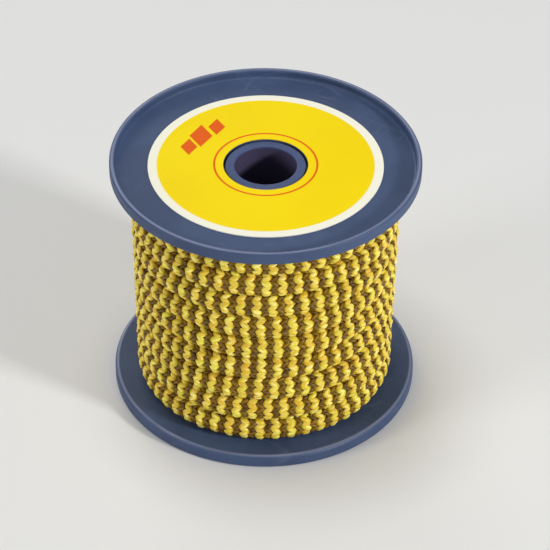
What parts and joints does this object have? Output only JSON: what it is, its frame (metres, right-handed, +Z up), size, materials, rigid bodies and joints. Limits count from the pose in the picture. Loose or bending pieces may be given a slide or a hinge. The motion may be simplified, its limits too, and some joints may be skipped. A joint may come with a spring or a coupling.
{
  "type": "cord reel",
  "caption": "Small two-flange reel of braided cord on a barrel, with a tube through its middle for a spindle.",
  "frame": {"origin": "middle of the lower flange's foot ring, on the surface the reel stands on", "axes": "+Z up along the reel's axis, -Y towards the picture's viewer, +Y the rear, where the turns cross over"},
  "size_m": [0.08, 0.08, 0.0704],
  "materials": {
    "reel_plastic": "slate blue moulded plastic, satin",
    "label_paper": "yellow printed paper with a white border, slightly glossy",
    "braided_cord": "braid of 32 yarns, yellow and dark brown in zigzags"
  },
  "bodies": {
    "root": {"lower_flange": "reel_plastic", "upper_flange": "reel_plastic", "barrel": "reel_plastic", "arbor_tube": "reel_plastic", "upper_label": "label_paper", "cord_inner_end": "braided_cord", "cord_under_layer": "braided_cord", "cord_outer_layer": "braided_cord"}
  },
  "joints": []
}
